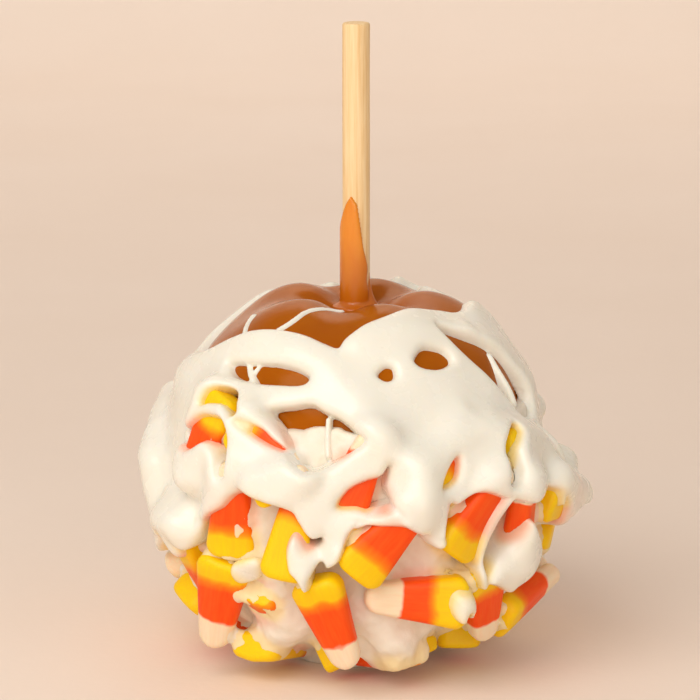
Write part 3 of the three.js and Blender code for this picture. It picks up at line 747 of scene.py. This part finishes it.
def drizzle_field(space, carrier):
    """Distances to the drizzle, which lies on its carrier and sinks a little into it."""
    shell = space.near & (carrier > SHELL[0]) & (carrier < SHELL[1])
    height = space.charted(DRAPE, shell, ABSENT)
    height -= space.eased * np.clip(-height / DRIZZLE["lip"], 0, 1)
    under = -(carrier + DRIZZLE["sink"] + space.eased)
    return np.where(shell, np.maximum(carrier - height, under), FIELD_REACH)


# ---- Materials ----
def rgb(red, green, blue):
    """A linear colour from the usual 0 to 255 values."""
    def linear(value):
        value /= 255
        return value / 12.92 if value <= 0.04045 else ((value + 0.055) / 1.055) ** 2.4
    return (linear(red), linear(green), linear(blue), 1)


CREAM = rgb(244, 240, 229)
DEEP_CREAM = rgb(240, 234, 216)
DULL_CREAM = rgb(249, 241, 226)
DULL_SHADE = rgb(236, 222, 200)
YELLOW = rgb(255, 212, 0)
YELLOW_EDGE = rgb(255, 204, 0)
ORANGE_EDGE = rgb(255, 124, 0)
ORANGE = rgb(252, 76, 0)
IVORY = rgb(250, 229, 196)
SUGAR_STREAK = rgb(255, 150, 50)
YELLOW_THROUGH_AND_BOUNCED = rgb(252, 214, 90)
ORANGE_THROUGH_AND_BOUNCED = rgb(255, 170, 130)
CARAMEL = rgb(156, 74, 0)
PALE_CARAMEL = rgb(178, 96, 4)
CARAMEL_SHINE = (1.0, 0.72, 0.4, 1)
SMEAR_FOOT = rgb(188, 96, 8)
THIN_CARAMEL = rgb(222, 120, 16)
THINNEST_CARAMEL = rgb(242, 160, 52)
WOOD_DARK = rgb(232, 188, 126)
WOOD = rgb(248, 216, 164)
WOOD_PALE = rgb(254, 230, 184)
WOOD_LINE = rgb(226, 180, 120)
PAPER = rgb(246, 230, 216)
PAPER_SHADE = rgb(242, 224, 208)


class Paint:
    """A material with a Principled shader, and the few kinds of node that are wired to it."""

    def __init__(self, name):
        self.material = bpy.data.materials.new(name)
        self.material.use_nodes = True
        self.tree = self.material.node_tree
        self.shader = self.tree.nodes["Principled BSDF"]

    def node(self, kind, **inputs):
        made = self.tree.nodes.new(kind)
        for key, value in inputs.items():
            self.plug(made, key.replace("_", " "), value)
        return made

    def plug(self, node, key, value):
        """Wires a node's output to an input, or sets the input to a value."""
        socket = node.inputs[key]
        if isinstance(value, bpy.types.NodeSocket):
            self.tree.links.new(value, socket)
        else:
            socket.default_value = value

    def place(self):
        return self.node("ShaderNodeTexCoord").outputs["Object"]

    def noise(self, size, detail=3.0, stretch=(1, 1, 1), rough=0.5, where=None):
        """Noise with features of a size in millimetres, over the object or over a given vector."""
        vector = self.place() if where is None else where
        stretched = self.node("ShaderNodeMapping", Vector=vector, Scale=stretch)
        made = self.node("ShaderNodeTexNoise", Scale=1 / (size * MM), Detail=detail, Roughness=rough)
        self.plug(made, "Vector", stretched.outputs[0])
        return made.outputs["Fac"]

    def ramp(self, value, stops):
        made = self.node("ShaderNodeValToRGB", Fac=value)
        elements = made.color_ramp.elements
        while len(elements) < len(stops):
            elements.new(0.5)
        for element, (position, colour) in zip(elements, stops):
            element.position = position
            element.color = colour
        return made.outputs["Color"]

    def grey(self, value, low, high, start=0, end=1):
        """A value that goes from low to high while another goes from start to end."""
        made = self.node(
            "ShaderNodeMapRange", Value=value, From_Min=start, From_Max=end, To_Min=low, To_Max=high)
        return made.outputs[0]

    def mix(self, share, first, second):
        made = self.tree.nodes.new("ShaderNodeMix")
        made.data_type = "RGBA"
        # The colour mix has its factor at input 0, its colours at inputs 6 and 7, its result at output 2.
        self.plug(made, 0, share)
        self.plug(made, 6, first)
        self.plug(made, 7, second)
        return made.outputs[2]

    def attribute(self, name):
        made = self.tree.nodes.new("ShaderNodeAttribute")
        made.attribute_name = name
        return made

    def colour(self, value):
        self.plug(self.shader, "Base Color", value)

    def tinted(self, value):
        """A colour under the tint that the piece's mesh carries."""
        tint = self.attribute("tint")
        self.colour(self.mix(tint.outputs["Alpha"], value, tint.outputs["Color"]))

    def rough(self, value):
        self.plug(self.shader, "Roughness", value)

    def bump(self, value, depth):
        """Fine relief, for a depth in millimetres."""
        made = self.node("ShaderNodeBump", Height=value, Distance=depth * MM)
        self.plug(self.shader, "Normal", made.outputs[0])

    def shine(self, level):
        self.plug(self.shader, "Specular IOR Level", level)

    def glow(self, weight, reach, colour):
        """Light that travels inside, for a depth in millimetres."""
        self.plug(self.shader, "Subsurface Weight", weight)
        self.plug(self.shader, "Subsurface Scale", reach * MM)
        self.plug(self.shader, "Subsurface Radius", colour)


def candy_paint():
    paint = Paint("candy_corn_sugar")
    band = paint.grey(paint.attribute("band").outputs["Fac"], 0, 1, end=3)
    colour = paint.ramp(band, [
        (0, YELLOW), (0.29, YELLOW_EDGE), (0.36, ORANGE_EDGE), (0.41, ORANGE), (0.655, ORANGE),
        (0.685, IVORY), (1, IVORY),
    ])
    streaks = paint.noise(0.7, 3, stretch=(1, 0.1, 1), where=paint.attribute("grain").outputs["Vector"])
    paint.colour(paint.mix(paint.grey(streaks, -0.1, 0.26), colour, SUGAR_STREAK))
    paint.rough(paint.grey(paint.noise(3, 3), 0.36, 0.52))
    paint.bump(streaks, 0.05)
    paint.shine(0.25)
    paint.glow(0.25, 1.2, (1.0, 0.4, 0.15))
    return paint.material


def drizzle_paint():
    paint = Paint("white_chocolate_glossy")
    paint.tinted(paint.mix(paint.noise(9, 3), CREAM, DEEP_CREAM))
    paint.rough(paint.grey(paint.noise(5, 3), 0.2, 0.34))
    paint.bump(paint.noise(3, 2), 0.02)
    paint.glow(0.3, 1.4, (1.0, 0.8, 0.6))
    return paint.material


def base_paint():
    paint = Paint("white_chocolate_dull")
    paint.tinted(paint.mix(paint.noise(4, 4), DULL_CREAM, DULL_SHADE))
    paint.rough(paint.grey(paint.noise(2, 3), 0.45, 0.65))
    paint.bump(paint.noise(0.7, 5, rough=0.7), 0.08)
    paint.glow(0.22, 1.4, (1.0, 0.78, 0.62))
    return paint.material


def caramel_paint():
    paint = Paint("caramel_coat")
    paint.colour(paint.mix(paint.noise(11, 3), CARAMEL, PALE_CARAMEL))
    paint.rough(paint.grey(paint.noise(6, 2), 0.1, 0.2))
    paint.bump(paint.noise(4, 2), 0.05)
    paint.shine(0.22)
    paint.plug(paint.shader, "Specular Tint", CARAMEL_SHINE)
    paint.glow(0.2, 2.5, (1.0, 0.4, 0.05))
    return paint.material


def smear_paint():
    """Thin caramel, darker towards the stick's foot."""
    paint = Paint("caramel_thin")
    streaks = paint.noise(1.6, 3, stretch=(1, 1, 0.2))
    thin = paint.mix(streaks, THIN_CARAMEL, THINNEST_CARAMEL)
    height = paint.node("ShaderNodeSeparateXYZ", Vector=paint.place()).outputs["Z"]
    climb = paint.grey(height, 0, 1, start=76 * MM, end=92 * MM)
    paint.colour(paint.mix(climb, SMEAR_FOOT, thin))
    paint.rough(paint.grey(paint.noise(4, 2), 0.12, 0.22))
    paint.glow(0.3, 1.5, (1.0, 0.5, 0.1))
    return paint.material


def wood_paint():
    paint = Paint("birch_wood")
    grain = paint.noise(0.8, 5, stretch=(1, 1, 0.035), rough=0.6)
    fine = paint.noise(0.3, 4, stretch=(1, 1, 0.05))
    colour = paint.ramp(grain, [(0.3, WOOD_DARK), (0.5, WOOD), (0.7, WOOD_PALE)])
    paint.colour(paint.mix(paint.grey(fine, 0, 0.5), colour, WOOD_LINE))
    paint.rough(paint.grey(fine, 0.5, 0.75))
    paint.bump(fine, 0.06)
    return paint.material


def paper_paint():
    paint = Paint("studio_paper")
    paint.colour(paint.mix(paint.noise(90, 3), PAPER, PAPER_SHADE))
    paint.rough(paint.grey(paint.noise(6, 4), 0.85, 0.95))
    paint.bump(paint.noise(2.5, 5), 0.08)
    return paint.material


PAINTS = {
    "candy": candy_paint, "drizzle": drizzle_paint, "base": base_paint, "caramel": caramel_paint,
    "smear": smear_paint, "wood": wood_paint, "paper": paper_paint,
}


# ---- Pieces ----
def finish_piece(made, nodes, material):
    """Puts a piece on the food's one body, in the place of the CAD nodes that it dresses."""
    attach(made, "root")
    if nodes:
        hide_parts(*nodes)
    made.data.materials.append(MATERIALS[material])


def apple_object():
    lat = np.linspace(APPLE_MESH["lowest"], APPLE_MESH["highest"], APPLE_MESH["rings"])
    lon = np.linspace(-180, 180, APPLE_MESH["sides"], endpoint=False)
    lat, lon = np.meshgrid(lat, lon, indexing="ij")
    reach = sample(APPLE, lon, lat)
    points = (outwards(lon, lat) * reach[..., None] + CENTRE).reshape(-1, 3)
    rings, sides = lat.shape
    ends = [points[:sides].mean(0), points[-sides:].mean(0)]
    made = mesh_object("caramel_skin", np.vstack([points, ends]), closed_stack(rings, sides))
    finish_piece(made, ["caramel_apple"], "caramel")


def stick_object():
    low, high = (np.array(corner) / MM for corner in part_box("stick"))
    radius = (high[0] - low[0]) / 2
    sides, edge = STICK["sides"], STICK["edge"]
    section = [(radius, h) for h in np.linspace(low[2], high[2] - edge, STICK["rings"])]
    for a in np.radians([30, 60, 90]):
        section.append((radius - edge * (1 - math.cos(a)), high[2] - edge * (1 - math.sin(a))))
    section += [(radius * share, high[2]) for share in (0.6, 0.3)]
    turn = np.linspace(0, 2 * math.pi, sides, endpoint=False)
    rings = [[(r * math.sin(t), -r * math.cos(t), h) for t in turn] for r, h in section]
    points = np.array(rings).reshape(-1, 3)
    wear = 1
    for seed, (depth, size, along) in enumerate(WEAR, 21):
        wear = wear - depth * (1 + noise(points * [1, 1, along], size, seed=seed))
    points[:, :2] *= wear[:, None]
    points = np.vstack([points, [0, 0, low[2]], [0, 0, high[2]]])
    made = mesh_object("birch_stick", points, closed_stack(len(section), sides))
    finish_piece(made, ["stick"], "wood")


def smear_thickness(turn, z, arc):
    """Thickness of the smear at a bearing and a height, below zero where there is none."""
    heights, left, right = np.array(SMEAR_EDGES, float).T
    inside = np.minimum(turn - np.interp(z, heights, left), np.interp(z, heights, right) - turn) * arc
    ragged = SMEAR["ragged"] * noise(np.stack([turn * arc, z, z * 0], -1), SMEAR["ragged_size"], seed=31)
    inside = np.minimum(inside, (SMEAR["top"] - z) * SMEAR["blunt"]) + ragged
    film = np.where(inside > 0, SMEAR["height"] * rounded(inside, SMEAR["rim"]), -SMEAR["under"])
    off = (turn - FILLET["bearing"]) / FILLET["spread"]
    reach = FILLET["reach"] + FILLET["extra"] * np.exp(-(off**2))
    fillet = FILLET["height"] * np.exp(-np.maximum(z - FILLET["z"], 0) / reach) - SMEAR["under"]
    return smooth_max(film, fillet, SMEAR["weld"])


def smear_object():
    """The caramel that climbs the stick, as a sleeve that lies just under the wood where it ends."""
    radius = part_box("stick")[1][0] / MM
    sides, rows = SMEAR["sides"], SMEAR["rows"]
    z = np.linspace(SMEAR_EDGES[0][0], SMEAR["end"], rows)
    turn = np.linspace(-180, 180, sides, endpoint=False)
    z, turn = np.meshgrid(z, turn, indexing="ij")
    outer = radius + smear_thickness(turn, z, math.radians(1) * radius)
    ring = np.radians(turn)
    points = np.stack([outer * np.sin(ring), -outer * np.cos(ring), z], -1)
    inner = (radius - SMEAR["core"]) / outer[..., None]
    core = points * np.concatenate([inner, inner, np.ones_like(inner)], -1)
    points = np.vstack([points.reshape(-1, 3), core[::-1].reshape(-1, 3)])
    made = mesh_object("caramel_smear", points, grid_faces(2 * rows, sides, closed_rings=True))
    finish_piece(made, [], "smear")


def tint_piece(made, sweets, depth, strength):
    """Where a coat is thin over a sweet, the sweet's colour shows through it; near a sweet the same tint is
    also painted bounce light from the sweet.
    """
    points = points_of(made)
    nearest = np.full(len(points), TINT["far"])
    share = np.zeros(len(points))
    for sweet in sweets:
        close = np.abs(points - sweet["middle"]).max(1) < sweet["half"].max() + TINT["reach"]
        local = (points[close] - sweet["middle"]) @ sweet["axes"].T
        away = sweet_distance(local, sweet)
        better = away < nearest[close]
        index = np.flatnonzero(close)[better]
        nearest[index] = away[better]
        share[index] = np.clip(local[better, 1] / sweet["half"][1] / 2 + 0.5, 0, 1)
    orange = smoothstep(*TINT_BANDS["orange"], share)[:, None]
    white = smoothstep(*TINT_BANDS["white"], share)[:, None]
    colour = np.array(YELLOW_THROUGH_AND_BOUNCED) * (1 - orange) + np.array(ORANGE_THROUGH_AND_BOUNCED) * orange
    colour = colour * (1 - white) + np.array(CREAM) * white
    colour[:, 3] = strength * (1 - smoothstep(TINT["clear"], depth, nearest))
    set_attribute(made, "tint", "FLOAT_COLOR", "color", colour)


def white_chocolate_objects(sweets):
    space = Space()
    dip, carrier = food_fields(space, sweets)
    drizzle = drizzle_field(space, carrier)
    made = field_object("white_chocolate_dip", dip, space.low)
    # The dip's tint is partly painted bounce light: the sweets' colour spread onto the coat beside them.
    tint_piece(made, sweets, *TINT["dip"])
    finish_piece(made, ["white_base"], "base")
    made = field_object("white_chocolate_drizzle", drizzle, space.low)
    tint_piece(made, sweets, *TINT["drizzle"])
    finish_piece(made, ["drizzle"], "drizzle")


# ---- Studio ----
def sweep_object():
    """A floor that sweeps up into the backdrop."""
    back, bend, side = SWEEP["back"], SWEEP["bend"], SWEEP["side"]
    line = [(SWEEP["front"], 0), (back, 0)]
    for a in np.radians(np.arange(SWEEP["turn"], 91, SWEEP["turn"])):
        line.append((back + bend * math.sin(a), bend * (1 - math.cos(a))))
    line.append((back + bend, SWEEP["top"]))
    points = [(x, y, z) for y, z in line for x in (-side, side)]
    faces = [(2 * i, 2 * i + 1, 2 * i + 3, 2 * i + 2) for i in range(len(line) - 1)]
    made = mesh_object("studio_sweep", points, faces)
    made.data.materials.append(MATERIALS["paper"])


def area_light(name, place, aim, size, power):
    data = bpy.data.lights.new(name, "AREA")
    data.shape = "DISK"
    data.size = size * MM
    data.energy = power
    data.color = LIGHT_COLOUR
    made = link_object(name, data)
    made.location = Vector(place) * MM
    made.rotation_euler = (Vector(aim) - Vector(place)).to_track_quat("-Z", "Y").to_euler()


def studio():
    sweep_object()
    world = bpy.data.worlds.new("studio_air")
    world.use_nodes = True
    background = world.node_tree.nodes["Background"]
    background.inputs["Color"].default_value = AIR["colour"]
    background.inputs["Strength"].default_value = AIR["strength"]
    bpy.context.scene.world = world
    for name, light in LIGHTS.items():
        area_light(name, *light)
    bpy.context.scene.view_settings.view_transform = "Standard"


def camera():
    data = bpy.data.cameras.new("camera")
    data.sensor_width = CAMERA["sensor"]
    data.lens = CAMERA["lens"]
    made = link_object("camera", data)
    rise = math.radians(CAMERA["elevation"])
    towards = Vector((0, -math.cos(rise), math.sin(rise)))
    made.location = (Vector(CAMERA["target"]) + CAMERA["distance"] * towards) * MM
    made.rotation_euler = (math.radians(90) - rise, 0, 0)
    data.clip_start = CAMERA["nearest"] * MM
    data.clip_end = CAMERA["farthest"] * MM
    bpy.context.scene.camera = made


camera()
MATERIALS = {name: paint() for name, paint in PAINTS.items()}
studio()

APPLE = apple_chart()
COAT, EASED = coat_charts()
DRAPE = drizzle_chart()
SWEETS = [measure_sweet(name) for name in sorted(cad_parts) if name.startswith("candy_corn")]

apple_object()
stick_object()
smear_object()
for number, sweet in enumerate(SWEETS):
    sweet_object(sweet, number)
white_chocolate_objects(SWEETS)
